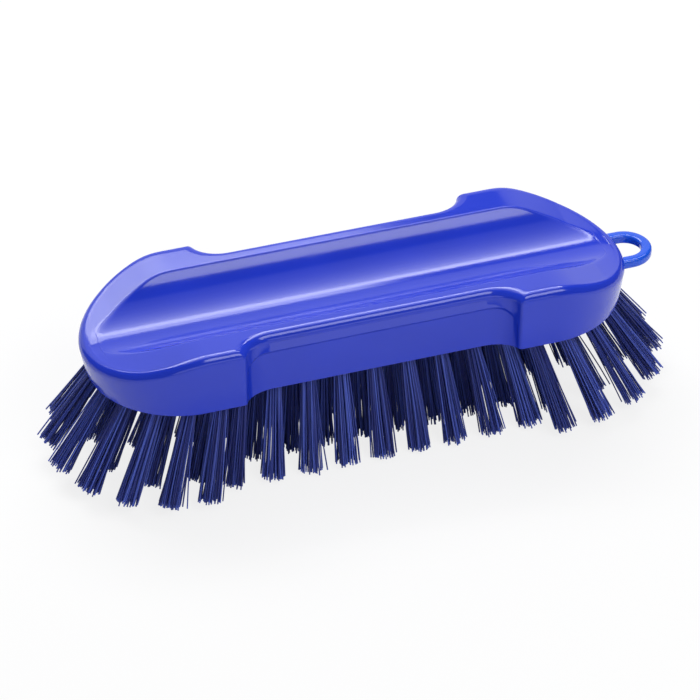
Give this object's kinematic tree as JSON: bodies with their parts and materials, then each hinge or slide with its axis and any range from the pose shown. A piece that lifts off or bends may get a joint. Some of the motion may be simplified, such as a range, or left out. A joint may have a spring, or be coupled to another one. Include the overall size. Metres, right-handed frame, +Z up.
{
  "type": "cleaning brush",
  "caption": "Hand cleaning brush with a waisted plastic block, a hollow along its top, a hanging eye at one end and stiff tufts of filament that fan outwards.",
  "frame": {"origin": "centre of the brush's footprint, on the plane of the cut ends of the middle tufts", "axes": "+X along the length towards the hanging eye, +Y to the far side of the picture, +Z up from the tufts to the top of the block"},
  "size_m": [0.2448, 0.09, 0.0636],
  "materials": {
    "blue_polypropylene": "smooth moulded gloss",
    "navy_filament": "stiff filament with a soft sheen"
  },
  "bodies": {
    "root": {"block": "blue_polypropylene", "tuft_eye_end_1": "navy_filament", "tuft_eye_end_2": "navy_filament", "tuft_eye_end_3": "navy_filament", "tuft_eye_end_4": "navy_filament", "tuft_eye_end_5": "navy_filament", "tuft_eye_end_6": "navy_filament", "tuft_eye_end_7": "navy_filament", "tuft_eye_end_8": "navy_filament", "tuft_eye_end_9": "navy_filament", "tuft_eye_end_10": "navy_filament", "tuft_plain_end_1": "navy_filament", "tuft_plain_end_2": "navy_filament", "tuft_plain_end_3": "navy_filament", "tuft_plain_end_4": "navy_filament", "tuft_plain_end_5": "navy_filament", "tuft_plain_end_6": "navy_filament", "tuft_plain_end_7": "navy_filament", "tuft_plain_end_8": "navy_filament", "tuft_plain_end_9": "navy_filament", "tuft_plain_end_10": "navy_filament", "tuft_waist_near_1": "navy_filament", "tuft_waist_near_2": "navy_filament", "tuft_waist_near_3": "navy_filament", "tuft_waist_near_4": "navy_filament", "tuft_waist_near_5": "navy_filament", "tuft_waist_near_6": "navy_filament", "tuft_waist_near_7": "navy_filament", "tuft_waist_near_8": "navy_filament", "tuft_waist_near_9": "navy_filament", "tuft_waist_far_1": "navy_filament", "tuft_waist_far_2": "navy_filament", "tuft_waist_far_3": "navy_filament", "tuft_waist_far_4": "navy_filament", "tuft_waist_far_5": "navy_filament", "tuft_waist_far_6": "navy_filament", "tuft_waist_far_7": "navy_filament", "tuft_waist_far_8": "navy_filament", "tuft_waist_far_9": "navy_filament", "tuft_pair_waist_near_1": "navy_filament", "tuft_pair_waist_near_2": "navy_filament", "tuft_pair_waist_near_3": "navy_filament", "tuft_pair_waist_near_4": "navy_filament", "tuft_pair_waist_middle_1": "navy_filament", "tuft_pair_waist_middle_2": "navy_filament", "tuft_pair_waist_middle_3": "navy_filament", "tuft_pair_waist_middle_4": "navy_filament", "tuft_pair_waist_far_1": "navy_filament", "tuft_pair_waist_far_2": "navy_filament", "tuft_pair_waist_far_3": "navy_filament", "tuft_pair_waist_far_4": "navy_filament", "tuft_pair_plain_end_1": "navy_filament", "tuft_pair_plain_end_2": "navy_filament", "tuft_pair_plain_end_3": "navy_filament", "tuft_pair_plain_end_heart": "navy_filament", "tuft_pair_eye_end_1": "navy_filament", "tuft_pair_eye_end_2": "navy_filament", "tuft_pair_eye_end_3": "navy_filament", "tuft_pair_eye_end_heart": "navy_filament"}
  },
  "joints": []
}
